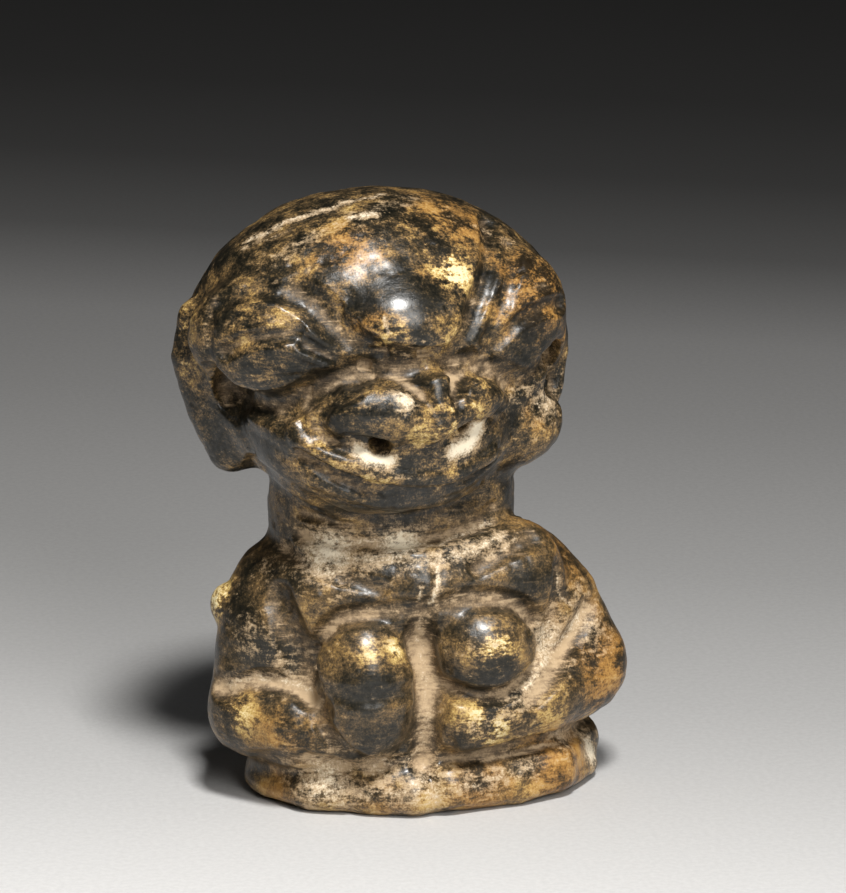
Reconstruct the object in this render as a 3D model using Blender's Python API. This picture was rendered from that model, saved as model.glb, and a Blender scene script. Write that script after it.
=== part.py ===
"""A small carved stone figure of a woman who holds her breasts, as one solid.

The figure is laid out on a grid of squares, a hundred to its height: +X is to the viewer's right,
-Y is the front and +Z is up. Every place and size in the carving is in those squares. The rough block
is built up from rounded masses, the carved lines are marked on it from the front or from a side and
cut in, and the stone is then meshed, thinned to few faces and cut off flat below.
"""

import bmesh
import bpy
import numpy as np
from mathutils import Vector

# Driving dimensions, in metres.
FIGURE_HEIGHT = 0.075
SQUARE = FIGURE_HEIGHT / 100

# How finely the stone is meshed, in squares, and how many faces are kept.
MESH_CELL = 1.15
KEPT_TRIANGLES = 9400
LOW_CORNER = np.array([-45.0, -42.0, -9.0])
HIGH_CORNER = np.array([42.0, 40.0, 106.0])

# The finish of the stone.
STONE_COLOUR = (0.045, 0.036, 0.022, 1.0)
STONE_ROUGHNESS = 0.38

# The head turns a little to the figure's own left on the neck, about this upright line.
HEAD_TURN = np.radians(6)
HEAD_AT = np.array([-5.0, 2.0, 0.0])
TURNED = np.array(
    [
        [np.cos(HEAD_TURN), -np.sin(HEAD_TURN), 0],
        [np.sin(HEAD_TURN), np.cos(HEAD_TURN), 0],
        [0, 0, 1],
    ]
)


def length_of(vectors):
    return np.sqrt(np.einsum("ij,ij->i", vectors, vectors))


def unit(vector):
    vector = np.asarray(vector, float)
    return vector / np.linalg.norm(vector)


def axes_along(direction, up=(0, 0, 1)):
    """A turned set of axes: along the direction, out of the stone, and up."""
    along = unit(direction)
    out = unit(np.cross(along, up))
    return np.array([along, out, np.cross(out, along)]).T


def mass(points, centre, radii, turn=None):
    """Distance to a rounded mass, an ellipsoid with its own axes if it is turned."""
    offset = points - np.asarray(centre, float)
    if turn is not None:
        offset = offset @ turn
    radii = np.asarray(radii, float)
    reach = length_of(offset / radii)
    slope = length_of(offset / radii**2)
    return reach * (reach - 1) / np.maximum(slope, 1e-6)


def roll(points, stations):
    """Distance to a limb or a roll of stone through stations of (x, y, z, radius)."""
    nearest = np.full(len(points), np.inf)
    for first, second in zip(stations[:-1], stations[1:]):
        start, end = np.array(first[:3], float), np.array(second[:3], float)
        axis = end - start
        share = np.clip((points - start) @ axis / (axis @ axis), 0, 1)
        radius = first[3] + share * (second[3] - first[3])
        gap = length_of(points - start - share[:, None] * axis) - radius
        nearest = np.minimum(nearest, gap)
    return nearest


def join(first, second, softness):
    """Two masses in one stone, with a fillet as wide as the softness in the crease."""
    overlap = np.maximum(softness - np.abs(first - second), 0) / softness
    return np.minimum(first, second) - overlap**2 * softness / 4


def hollow(stone, cutter, softness):
    """The stone with the cutter taken out of it."""
    overlap = np.maximum(softness - np.abs(stone + cutter), 0) / softness
    return np.maximum(stone, -cutter) + overlap**2 * softness / 4


def blocked_head(points):
    """The skull, brow, lids, jaw, nose and ears in the head's own frame, before any line is cut."""
    stone = mass(points, (0.2, 1, 75), (31.0, 24.0, 22.3))
    forehead = mass(points, (-2.0, -3.0, 82.5), (25.0, 19.5, 15.4))
    stone = join(stone, forehead, 4)
    jaw = mass(points, (-0.5, 1.0, 62.5), (26.5, 19.0, 12.0))
    stone = join(stone, jaw, 3)
    muzzle = mass(points, (-3.0, -11.0, 62.2), (20.5, 16.0, 13.6))
    stone = join(stone, muzzle, 3)
    brow = roll(
        points,
        [(-5.0, -2.0, 85.0, 13.5), (-3.6, -9.0, 84.4, 14.0), (-1.8, -13.6, 83.4, 11.8), (-0.6, -16.4, 81.8, 9.0)],
    )
    stone = join(stone, brow, 1.5)
    lids = mass(points, (-19.5, -11.0, 78.6), (14.5, 8.6, 10.2), axes_along((24, -13.5, 1)))
    stone = join(stone, lids, 1.5)
    lids = mass(points, (17.8, -10.5, 79.6), (12.0, 8.4, 10.4), axes_along((-24, -14.5, 3)))
    stone = join(stone, lids, 1.5)
    ear = roll(
        points, [(-29.5, 2, 79, 2.8), (-30.0, 2, 73, 3.4), (-26.8, 1, 64, 4.0), (-23.8, 0.5, 58.2, 4.2)]
    )
    stone = join(stone, ear, 2.0)
    ear = roll(
        points, [(29.0, 0, 77, 2.2), (30.0, -1, 70, 2.3), (29.0, -1.5, 63, 2.6), (25.5, -2, 57.5, 3.0)]
    )
    stone = join(stone, ear, 1.5)
    return join(stone, nose(points), 1.2)


def nose(points):
    """Two wings that roll out and down from the tip, and the short bridge over them."""
    shape = mass(points, (-2.6, -17.5, 67.4), (15.4, 8.6, 6.6))
    bridge = roll(points, [(0.6, -22.5, 75.0, 2.6), (1.4, -25.0, 71.8, 3.4), (1.4, -26.4, 67.4, 3.3)])
    shape = join(shape, bridge, 1.5)
    left_wing = [
        (0.2, -26.0, 67.2, 3.8),
        (-5.0, -24.8, 68.6, 5.4),
        (-10.6, -22.8, 68.6, 5.2),
        (-14.0, -20.6, 67.6, 4.0),
    ]
    right_wing = [(3.0, -25.6, 68.2, 3.6), (8.0, -23.2, 69.2, 4.0), (12.4, -20.2, 69.0, 3.4)]
    shape = join(shape, roll(points, left_wing), 1.2)
    return join(shape, roll(points, right_wing), 1.0)


def blocked_body(points):
    """The trunk, the arms, the breasts over the hands, and the band of the folded legs."""
    stone = mass(points, (0.4, 1.5, 15), (29.5, 19.5, 20))
    stone = join(stone, mass(points, (2.0, 0.5, 2.0), (29.0, 19.5, 8.5)), 3)
    chest = roll(points, [(-17, 0.5, 28, 13.5), (-1, -1.0, 27.5, 15.0), (15, 0.5, 28.5, 13.5)])
    stone = join(stone, chest, 5)
    collar = roll(points, [(-15, -4.5, 34.6, 9.2), (-1, -8.0, 35.8, 9.2), (14, -5.5, 36.2, 9.4)])
    stone = join(stone, collar, 3)
    neck = mass(points, (-2.8, 2.5, 46), (20.0, 15.5, 30))
    stone = join(stone, neck, 1.5)
    stone = join(stone, upper_arms(points), 2.5)
    stone = join(stone, forearms(points), 1.6)
    left_breast = mass(points, (-11.2, -14.0, 21.6), (8.2, 9.2, 12.2))
    right_breast = mass(points, (7.4, -13.4, 27.4), (8.2, 9.0, 8.0))
    stone = join(stone, join(left_breast, right_breast, 0.8), 1.2)
    return join(stone, folded_legs(points), 1.0)


def upper_arms(points):
    left = roll(points, [(-19.5, 2, 33.0, 9.0), (-24.0, -1, 24, 8.0), (-26.0, -3, 16, 7.2)])
    right = roll(points, [(18.6, 2, 34.8, 10.0), (23.8, 0, 30, 8.8), (27.6, -2, 20.5, 7.4)])
    return np.minimum(left, right)


def forearms(points):
    left = roll(points, [(-26.0, -3.0, 14.5, 7.4), (-20.5, -9.5, 14.0, 7.0), (-17.5, -11.5, 14, 6.0)])
    right = roll(points, [(27.6, -3.5, 18.6, 7.4), (17, -12.4, 16.8, 6.8), (4.5, -16.0, 16.0, 6.2)])
    return np.minimum(left, right)


def folded_legs(points):
    """Two rolls that meet in front."""
    right = roll(points, [(26.5, 2, 4.6, 5.4), (20, -9.6, 4.6, 5.6), (3, -14.0, 4.8, 5.2)])
    left = roll(points, [(-21.5, 2, 2.0, 5.0), (-17.0, -8.8, 2.4, 5.2), (-3, -14.0, 3.2, 5.2)])
    return np.minimum(left, right)


def in_head(points):
    """Places in the head's own frame, with the face square to the front."""
    return (points - HEAD_AT) @ TURNED


def blocked_form(points):
    return join(blocked_head(in_head(points)), blocked_body(points), 2.5)


def sampled(marks, per_span=6):
    """A smooth line through marks, as points close together."""
    marks = np.array(marks, float)
    padded = np.vstack([2 * marks[0] - marks[1], marks, 2 * marks[-1] - marks[-2]])
    line = []
    for i in range(1, len(padded) - 2):
        before, here, there, after = padded[i - 1 : i + 3]
        for share in np.linspace(0, 1, per_span, endpoint=False):
            line.append(
                0.5
                * (
                    2 * here
                    + (there - before) * share
                    + (2 * before - 5 * here + 4 * there - after) * share**2
                    + (3 * here - before - 3 * there + after) * share**3
                )
            )
    return np.array(line + [marks[-1]])


def meet_block(marks, side):
    """Where marks drawn on a side of the block meet its surface: on the face, the front or the back."""
    line = sampled(marks)
    origin = np.column_stack([line[:, 0], np.zeros(len(line)), line[:, 1]])
    inward = np.array([0.0, -1.0 if side == "back" else 1.0, 0.0])
    if side == "face":
        origin = origin @ TURNED.T + HEAD_AT
        inward = TURNED @ inward
    found = np.full(len(line), np.nan)
    for depth in np.arange(-40, 20, 0.5):
        inside = blocked_form(origin + inward * depth) < 0
        fresh = inside & np.isnan(found)
        found[fresh] = depth - 0.25
    kept = ~np.isnan(found)
    return origin[kept] + inward * found[kept, None]


def cut_line(stone, points, line, width, depth):
    """The stone with a rounded groove along the line, or a ridge if the depth is negative."""
    low, high = line.min(0) - width, line.max(0) + width
    near = np.flatnonzero(((points > low) & (points < high)).all(axis=1))
    if not len(near):
        return stone
    gap = roll(points[near], [(*station, 0.0) for station in line])
    share = np.clip(gap / width, 0, 1)
    stone[near] += depth * (1 - share**2) ** 2
    return stone


# Carved lines, each with marks across and up on its side of the stone, a width and a depth.
FACE_LINES = {
    "brow left": ([(-18.6, 86.8), (-16, 85.2), (-13.5, 82), (-10.6, 79.4), (-7, 77.3), (-1, 76)], 3.4, 1.9),
    "brow right": ([(16.5, 93.5), (12.2, 86.5), (8.9, 82.2), (7.2, 79.2), (4.5, 76.8), (-1, 76)], 3.2, 2.0),
    "left lid top": ([(-28.5, 85), (-24.6, 86.8), (-21.5, 87), (-18.6, 86), (-14, 82)], 2.2, 1.2),
    "left slit": ([(-29.4, 77.2), (-27.2, 79), (-24.5, 80.1), (-19.4, 81.2)], 2.0, 1.9),
    "left slit inner": ([(-18, 79.4), (-14.6, 77.5), (-12.2, 76.5), (-9.6, 76)], 1.6, 1.7),
    "left lower lid": ([(-21, 78.6), (-17, 77.2), (-14, 75.6), (-11, 74.6)], 1.5, -0.7),
    "left lid bottom": ([(-30, 72.6), (-26.5, 69.6), (-22.8, 68.2), (-18.2, 70), (-13.5, 72.4), (-9, 75)], 3.6, 1.8),
    "right lid top": ([(18.6, 90.5), (15.6, 85), (13.2, 80.4), (11.8, 77.6)], 2.2, 1.3),
    "right slit": ([(12.2, 76.2), (15.2, 78.4), (17.5, 80.2), (20.2, 81), (23, 81.4), (26.8, 80.8)], 2.0, 2.0),
    "right lid bottom": ([(10.5, 74.2), (13.5, 72.6), (17, 70.4), (20, 69.4), (22.5, 71.2), (26, 73)], 3.2, 1.7),
    "nose arch": (
        [(-20.2, 67.6), (-17.6, 71.2), (-13.5, 73.6), (-8, 75.2), (0.5, 76), (6.5, 75.4), (11, 73.6), (16.4, 69.6)],
        2.8,
        1.7,
    ),
    "left wing": ([(-15.6, 64.6), (-17.4, 67.6), (-15.4, 71), (-10.5, 73.4), (-5, 73.6), (-1.6, 71.6)], 1.6, 0.9),
    "right wing": ([(4.4, 71.8), (8, 73.4), (12.6, 72.4), (15.4, 69), (12.4, 66)], 1.6, 0.9),
    "upper lip": (
        [(-19.8, 66.5), (-19.0, 63.7), (-15.8, 61.8), (-11.6, 60.2), (-7.2, 58.8), (-0.5, 57.4), (5, 57.2), (12, 59.4)],
        2.2,
        -1.1,
    ),
    "mouth": ([(-19, 61.8), (-13.4, 58.4), (-8, 56.2), (-1.8, 55), (4.2, 55), (9.4, 56), (14, 58)], 1.9, 2.2),
    "lower lip": ([(-17.4, 57.6), (-11.5, 54.8), (-6.2, 53), (0, 52.2), (6, 52.2), (11, 53.2)], 1.9, -0.9),
    "jaw corner": ([(-24, 66), (-21.5, 64.4), (-19, 62)], 2.4, -0.8),
}
BODY_LINES = {
    "between breasts": ([(-2.2, 34.5), (-1.9, 30), (-0.8, 20.4), (-1.3, 9.5)], 3.0, 2.4),
    "left hand": ([(-18.4, 22.4), (-14, 21.8), (-9, 21.8), (-3, 22)], 1.8, 1.2),
    "left hand edge": ([(-19, 28), (-19, 21), (-17, 15), (-13, 10.6), (-8.8, 8.8)], 2.4, 2.2),
    "right hand": ([(0.4, 22), (4.3, 20.8), (9, 20), (13.1, 20.8), (16.6, 23.4)], 2.2, 1.8),
    "right hand edge": ([(0.8, 20.5), (1.2, 15), (2.5, 10.4)], 2.0, 1.0),
    "collar": ([(-19.2, 44.2), (-12, 43.8), (-4.2, 44), (2, 44.4), (9, 45.6)], 2.4, 1.0),
    "left collarbone": ([(-21.4, 42), (-18.4, 40.8), (-12.5, 39.4), (-8.3, 38.1)], 2.0, 0.9),
    "right collarbone": ([(17, 43.7), (12.4, 42.4), (7.3, 40.7)], 2.4, 0.9),
    "over breasts": ([(-17, 30.5), (-14.3, 33.3), (-6.6, 34.8), (-1.5, 34.8), (6.6, 36), (13.6, 34.3), (17, 30.5)], 2.6, 1.2),
    "left arm": ([(-20, 34), (-19.4, 28), (-19.4, 22.5)], 3.8, 2.4),
    "right arm": ([(21.9, 38), (21.2, 31), (21.2, 25.6)], 2.6, 2.0),
    "left forearm": ([(-32, 19.6), (-26.4, 21.6), (-21.4, 21.2), (-18, 19.4)], 2.2, 1.5),
    "right forearm": ([(16, 19.2), (22, 23.6), (28, 29.6)], 2.4, 1.6),
}
BACK_LINES = {
    "spine": ([(-1.5, 38), (-0.8, 30), (-0.4, 20), (0, 13)], 4.0, 1.0),
    "left arm behind": ([(-20.5, 34), (-22.5, 26), (-24, 17), (-25.5, 11)], 3.4, 1.5),
    "right arm behind": ([(20.5, 35), (23.5, 28), (26, 20), (26.5, 13)], 3.4, 1.5),
    "nape": ([(-22, 51), (-12, 49), (-3, 48.4), (6, 49), (15, 51)], 3.0, 0.9),
    "base behind": ([(-26, 8.2), (-12, 9.2), (2, 9.4), (16, 9.4), (30, 9.0)], 2.6, 1.2),
    "seat": ([(0, 13), (0.4, 10), (0.6, 6)], 2.6, 0.9),
}


def marked_lines():
    """Every carved line as it lies on the block, with its width and depth."""
    lines = []
    for side, group in (("face", FACE_LINES), ("front", BODY_LINES), ("back", BACK_LINES)):
        lines += [(meet_block(marks, side), width, depth) for marks, width, depth in group.values()]
    return lines


def carved_form(points, lines):
    """The finished stone: the block with its hollows and its lines."""
    stone = blocked_form(points)
    turned = in_head(points)
    nostrils = [
        [(-12.6, -25.4, 65.4, 0.9), (-7.8, -28.0, 62.8, 2.0), (-7.4, -23.0, 64.6, 1.4)],
        [(2.4, -28.2, 63.2, 1.4), (7.4, -26.0, 65.2, 1.7), (6.0, -22.0, 66.2, 1.2)],
    ]
    for nostril in nostrils:
        stone = hollow(stone, roll(turned, nostril), 0.8)
    for side in (-1, 1):
        ear_hollow = mass(turned, (side * 26.0, -7.5, 69.5), (3.0, 5.0, 5.5))
        stone = hollow(stone, ear_hollow, 1.2)
    for line, width, depth in lines:
        stone = cut_line(stone, points, line, width, depth)
    return stone


def sampled_grid(form, cell):
    """The form's distance at every corner of a grid, exact near the surface and rough elsewhere."""
    coarse_step = 4
    counts = np.ceil((HIGH_CORNER - LOW_CORNER) / (cell * coarse_step)).astype(int)
    coarse_axes = [LOW_CORNER[i] + cell * coarse_step * np.arange(counts[i] + 1) for i in range(3)]
    corners = np.stack(np.meshgrid(*coarse_axes, indexing="ij"), axis=-1)
    rough = form(corners.reshape(-1, 3)).reshape(corners.shape[:3])
    values = rough[:-1, :-1, :-1]
    for axis in range(3):
        values = np.repeat(values, coarse_step, axis=axis)
    near = np.abs(values) < cell * coarse_step * 2.2
    index = np.argwhere(near)
    exact = form(LOW_CORNER + cell * index)
    values = values.copy()
    values[near] = exact
    return values


def shifted(values, steps):
    """The part of a grid that starts some steps in along each axis and leaves the last ones off."""
    x, y, z = values.shape
    return values[
        steps[0] : x - 1 + steps[0], steps[1] : y - 1 + steps[1], steps[2] : z - 1 + steps[2]
    ]


def without_pinches(values):
    """The grid's distances with corners filled in where two parts of the surface would touch."""
    corners = np.array(np.meshgrid([0, 1], [0, 1], [0, 1], indexing="ij")).reshape(3, -1).T
    while True:
        inside = values < 0
        pinched = []
        for axis in range(3):
            ring = [np.insert(step, axis, 0) for step in ((0, 0), (1, 1), (1, 0), (0, 1))]
            one, two, three, four = (shifted(inside, steps) for steps in ring)
            for at in np.argwhere((one == two) & (three == four) & (one != three)):
                pinched.append([tuple(at + steps) for steps in ring])
        total = sum(shifted(inside, corner).astype(int) for corner in corners)
        for at in np.argwhere((total == 2) | (total == 6)):
            around = [tuple(at + corner) for corner in corners]
            lone = total[tuple(at)] == 2
            odd = [place for place in around if inside[place] == lone]
            if all(abs(odd[0][axis] - odd[1][axis]) == 1 for axis in range(3)):
                pinched.append(around)
        if not pinched:
            return values
        for around in pinched:
            outside = [place for place in around if values[place] >= 0]
            if outside:
                values[min(outside, key=lambda place: values[place])] = -0.02


def meshed(values, cell):
    """Points and quads on the zero surface: one point in each cell that it crosses."""
    inside = values < 0
    shape = np.array(values.shape) - 1
    corner_sum = np.zeros((*shape, 3))
    corner_count = np.zeros(shape)
    for axis in range(3):
        low = [slice(None)] * 3
        high = [slice(None)] * 3
        low[axis], high[axis] = slice(0, -1), slice(1, None)
        first, second = values[tuple(low)], values[tuple(high)]
        crosses = (first < 0) != (second < 0)
        share = np.where(crosses, first / np.where(crosses, first - second, 1), 0)
        others = [a for a in range(3) if a != axis]
        for step_one in (0, 1):
            for step_two in (0, 1):
                window = [slice(0, shape[0]), slice(0, shape[1]), slice(0, shape[2])]
                window[others[0]] = slice(step_one, step_one + shape[others[0]])
                window[others[1]] = slice(step_two, step_two + shape[others[1]])
                here = crosses[tuple(window)]
                corner_count += here
                corner_sum[..., axis] += share[tuple(window)] * here
                corner_sum[..., others[0]] += step_one * here
                corner_sum[..., others[1]] += step_two * here
    used = corner_count > 0
    number = np.full(shape, -1)
    number[used] = np.arange(used.sum())
    places = np.argwhere(used) + corner_sum[used] / corner_count[used][:, None]
    points = LOW_CORNER + cell * places
    quads = []
    for axis in range(3):
        others = [(axis + 1) % 3, (axis + 2) % 3]
        low = [slice(1, -1)] * 3
        low[axis] = slice(0, -1)
        high = list(low)
        high[axis] = slice(1, None)
        first, second = inside[tuple(low)], inside[tuple(high)]
        for leaving in (True, False):
            at = np.argwhere((first & ~second) if leaving else (~first & second))
            at[:, others] += 1
            ring = []
            for back_one, back_two in ((0, 0), (1, 0), (1, 1), (0, 1)):
                cell_at = at.copy()
                cell_at[:, others[0]] -= back_one
                cell_at[:, others[1]] -= back_two
                ring.append(number[tuple(cell_at.T)])
            quad = np.stack(ring, axis=1)
            quads.append(quad if leaving else quad[:, ::-1])
    return points, np.vstack(quads)


def settled(points, form, cell, rounds=3):
    """The points moved onto the form's own surface."""
    small = 0.05
    for _ in range(rounds):
        value = form(points)
        slope = np.stack(
            [(form(points + small * step) - value) / small for step in np.eye(3)], axis=1
        )
        steep = np.maximum(length_of(slope), 0.3)
        move = -value / steep
        move = np.clip(move, -0.5 * cell, 0.5 * cell)
        points = points + slope / steep[:, None] * move[:, None]
    return points


def stone_mesh(name, cell):
    """The carved form as a mesh of quads, in metres."""
    lines = marked_lines()

    def form(points):
        return carved_form(points, lines)

    points, quads = meshed(without_pinches(sampled_grid(form, cell)), cell)
    points = settled(points, form, cell)
    mesh = bpy.data.meshes.new(name)
    mesh.from_pydata(points * SQUARE, [], quads.tolist())
    mesh.update()
    return mesh


def thinned(figure, triangles):
    """Keep the faces that the shape needs most, down to the number asked for."""
    modifier = figure.modifiers.new("thin", "DECIMATE")
    modifier.ratio = triangles / (2 * len(figure.data.polygons))
    modifier.use_collapse_triangulate = True
    evaluated = figure.evaluated_get(bpy.context.evaluated_depsgraph_get())
    mesh = bpy.data.meshes.new_from_object(evaluated)
    figure.modifiers.clear()
    figure.data = mesh


def cut_flat_below(mesh):
    """Cut the stone off at z = 0 and close the cut with a flat underside."""
    work = bmesh.new()
    work.from_mesh(mesh)
    everything = work.verts[:] + work.edges[:] + work.faces[:]
    bmesh.ops.bisect_plane(
        work, geom=everything, dist=1e-7, plane_co=(0, 0, 0), plane_no=(0, 0, 1), clear_inner=True
    )
    rim = [edge for edge in work.edges if edge.is_boundary]
    bmesh.ops.dissolve_degenerate(work, dist=2e-5, edges=rim)
    rim = [edge for edge in work.edges if edge.is_boundary]
    bmesh.ops.edgenet_fill(work, edges=rim)
    bmesh.ops.triangulate(work, faces=work.faces[:])
    bmesh.ops.recalc_face_normals(work, faces=work.faces[:])
    work.to_mesh(mesh)
    work.free()


def stood_on_origin(mesh):
    """Stand the middle of the figure's own box over the origin, at exactly the figure's height."""
    places = np.array([vertex.co for vertex in mesh.vertices])
    low, high = places.min(0), places.max(0)
    middle = (low + high) / 2
    scale = FIGURE_HEIGHT / high[2]
    for vertex in mesh.vertices:
        vertex.co = (vertex.co - Vector((middle[0], middle[1], 0))) * scale


def stone_material():
    material = bpy.data.materials.new("stone")
    material.use_nodes = True
    shader = material.node_tree.nodes["Principled BSDF"]
    shader.inputs["Base Color"].default_value = STONE_COLOUR
    shader.inputs["Roughness"].default_value = STONE_ROUGHNESS
    return material


def main():
    for obj in list(bpy.data.objects):
        bpy.data.objects.remove(obj)
    figure = bpy.data.objects.new("figure", stone_mesh("figure", MESH_CELL))
    bpy.context.scene.collection.objects.link(figure)
    thinned(figure, KEPT_TRIANGLES)
    cut_flat_below(figure.data)
    stood_on_origin(figure.data)
    figure.data.shade_smooth()
    figure.data.materials.clear()
    figure.data.materials.append(stone_material())


if __name__ == "__main__":
    main()
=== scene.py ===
import math

import bmesh
import bpy
import numpy as np
from mathutils import Matrix, Vector, noise


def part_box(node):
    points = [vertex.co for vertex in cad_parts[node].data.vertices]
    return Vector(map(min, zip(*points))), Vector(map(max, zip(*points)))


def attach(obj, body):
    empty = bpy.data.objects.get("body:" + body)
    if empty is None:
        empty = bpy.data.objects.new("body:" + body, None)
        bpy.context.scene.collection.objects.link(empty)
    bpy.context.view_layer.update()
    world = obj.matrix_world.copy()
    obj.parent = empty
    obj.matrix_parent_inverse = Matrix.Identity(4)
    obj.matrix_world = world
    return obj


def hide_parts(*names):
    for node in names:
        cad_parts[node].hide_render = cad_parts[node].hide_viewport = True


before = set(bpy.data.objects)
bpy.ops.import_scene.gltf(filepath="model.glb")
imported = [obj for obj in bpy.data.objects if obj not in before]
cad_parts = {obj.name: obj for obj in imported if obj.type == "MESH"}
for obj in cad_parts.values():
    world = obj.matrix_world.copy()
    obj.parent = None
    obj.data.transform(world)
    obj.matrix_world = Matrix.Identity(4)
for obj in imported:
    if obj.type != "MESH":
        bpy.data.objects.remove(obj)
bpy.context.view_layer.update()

# The carving is laid out on a grid of squares, as the solid is: +X is to the viewer's right, -Y is
# the front and +Z is up. Left and right in names are the viewer's. The finished stone is scaled to
# the solid's height.
MESH_CELL = 0.55
LOW_CORNER = np.array([-45.0, -42.0, -9.0])
HIGH_CORNER = np.array([42.0, 40.0, 106.0])

# The head turns a little to the figure's own left on the neck, about this upright line.
HEAD_TURN = np.radians(6)
HEAD_AT = np.array([-5.0, 2.0, 0.0])
# Above this height, with a few squares of fade, stains are the head's and turn with it.
NECK_HEIGHT = 46
NECK_FADE = 4
TURNED = np.array(
    [
        [np.cos(HEAD_TURN), -np.sin(HEAD_TURN), 0],
        [np.sin(HEAD_TURN), np.cos(HEAD_TURN), 0],
        [0, 0, 1],
    ]
)


# Distances to rounded masses


def length_of(vectors):
    return np.sqrt(np.einsum("ij,ij->i", vectors, vectors))


def unit(vector):
    vector = np.asarray(vector, float)
    return vector / np.linalg.norm(vector)


def axes_along(direction, up=(0, 0, 1)):
    """A turned set of axes: along the direction, out of the stone, and up."""
    along = unit(direction)
    out = unit(np.cross(along, up))
    return np.array([along, out, np.cross(out, along)]).T


def mass(points, centre, radii, turn=None):
    """Distance to a rounded mass, an ellipsoid with its own axes if it is turned."""
    offset = points - np.asarray(centre, float)
    if turn is not None:
        offset = offset @ turn
    radii = np.asarray(radii, float)
    reach = length_of(offset / radii)
    slope = length_of(offset / radii**2)
    return reach * (reach - 1) / np.maximum(slope, 1e-6)


def roll(points, stations):
    """Distance to a limb or a roll of stone through stations of (x, y, z, radius)."""
    nearest = np.full(len(points), np.inf)
    for first, second in zip(stations[:-1], stations[1:]):
        start, end = np.array(first[:3], float), np.array(second[:3], float)
        axis = end - start
        share = np.clip((points - start) @ axis / (axis @ axis), 0, 1)
        radius = first[3] + share * (second[3] - first[3])
        gap = length_of(points - start - share[:, None] * axis) - radius
        nearest = np.minimum(nearest, gap)
    return nearest


def join(first, second, softness):
    """Two masses in one stone, with a fillet as wide as the softness in the crease."""
    overlap = np.maximum(softness - np.abs(first - second), 0) / softness
    return np.minimum(first, second) - overlap**2 * softness / 4


def hollow(stone, cutter, softness):
    """The stone with the cutter taken out of it."""
    overlap = np.maximum(softness - np.abs(stone + cutter), 0) / softness
    return np.maximum(stone, -cutter) + overlap**2 * softness / 4


# The rough block, before any line is cut


def blocked_head(points):
    """The skull, brow, lids, jaw, cheek, muzzle, ears and nose in the head's own frame."""
    stone = mass(points, (0.2, 1, 75), (31.0, 24.0, 22.3))
    forehead = mass(points, (-2.0, -2.4, 82.0), (25.0, 19.4, 15.8))
    stone = join(stone, forehead, 4)
    jaw = mass(points, (-0.5, 1.0, 62.5), (26.5, 19.0, 12.0))
    stone = join(stone, jaw, 3)
    cheek = mass(points, (17.6, -5.0, 60.5), (11.6, 10.8, 8.1))
    stone = join(stone, cheek, 3)
    muzzle = mass(points, (-3.0, -11.0, 62.2), (20.5, 16.0, 13.6))
    stone = join(stone, muzzle, 3)
    brow = roll(points, [(-5.0, -2.0, 85.0, 13.5), (-3.4, -6.4, 84.5, 13.2), (-2.4, -10.0, 81.8, 12.4)])
    stone = join(stone, brow, 1.5)
    stone = join(stone, mass(points, (-1.4, -15.4, 80.2), (12.6, 11.0, 9.8)), 1.5)
    lids = mass(points, (-19.5, -11.0, 78.6), (14.5, 8.6, 10.2), axes_along((24, -13.5, 1)))
    stone = join(stone, lids, 1.5)
    lids = mass(points, (17.8, -10.5, 79.6), (12.0, 8.4, 10.4), axes_along((-24, -14.5, 3)))
    stone = join(stone, lids, 1.5)
    ear = roll(
        points, [(-29.5, 2, 79, 2.8), (-30.0, 2, 73, 3.4), (-26.8, 1, 64, 4.0), (-23.8, 0.5, 58.2, 4.2)]
    )
    stone = join(stone, ear, 2.0)
    ear = roll(
        points, [(29.0, 0, 77, 2.2), (30.4, -1, 70, 1.7), (29.6, -1.5, 65, 1.6), (27.8, -2, 60.6, 2.0)]
    )
    stone = join(stone, ear, 1.5)
    return join(stone, nose(points), 1.2)


def nose(points):
    """Two wings that roll out and down from the tip, and the short bridge over them."""
    shape = mass(points, (-2.6, -17.5, 67.4), (15.4, 8.6, 6.6))
    bridge = roll(points, [(0.6, -22.5, 75.0, 2.6), (1.4, -25.0, 71.8, 3.4), (1.4, -26.4, 67.4, 3.3)])
    shape = join(shape, bridge, 1.5)
    left_wing = [
        (0.2, -26.0, 67.2, 3.8),
        (-5.0, -24.8, 68.6, 5.4),
        (-10.6, -22.8, 68.6, 5.2),
        (-14.0, -20.6, 67.6, 4.0),
    ]
    right_wing = [(3.0, -25.6, 68.2, 3.6), (8.0, -23.2, 69.2, 4.0), (12.4, -20.2, 69.0, 3.4)]
    shape = join(shape, roll(points, left_wing), 1.2)
    return join(shape, roll(points, right_wing), 1.0)


def blocked_body(points):
    """The trunk, the arms, the breasts over the hands, and the band of the folded legs."""
    stone = mass(points, (0.4, 1.5, 15), (29.5, 19.5, 20))
    stone = join(stone, mass(points, (2.0, 0.5, 2.0), (29.0, 19.5, 8.5)), 3)
    chest = roll(points, [(-17, 0.5, 28, 13.5), (-1, -1.0, 27.5, 15.0), (15, 0.5, 28.5, 13.5)])
    stone = join(stone, chest, 5)
    collar = roll(points, [(-15, -6.6, 34.9, 9.2), (-1, -10.4, 36.2, 9.2), (14, -7.6, 36.6, 9.4)])
    stone = join(stone, collar, 3)
    neck = mass(points, (-2.8, 1.4, 46), (20.0, 15.5, 30))
    stone = join(stone, neck, 1.5)
    stone = join(stone, upper_arms(points), 2.5)
    stone = join(stone, mass(points, (-29.6, 2.4, 31.0), (2.6, 3.4, 3.6)), 1.0)
    stone = join(stone, forearms(points), 1.6)
    left_breast = mass(points, (-10.6, -14.2, 21.2), (8.8, 9.2, 12.8))
    right_breast = mass(points, (8.4, -13.6, 27.0), (9.2, 9.2, 8.6))
    stone = join(stone, join(left_breast, right_breast, 0.8), 1.2)
    return join(stone, folded_legs(points), 1.0)


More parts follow.
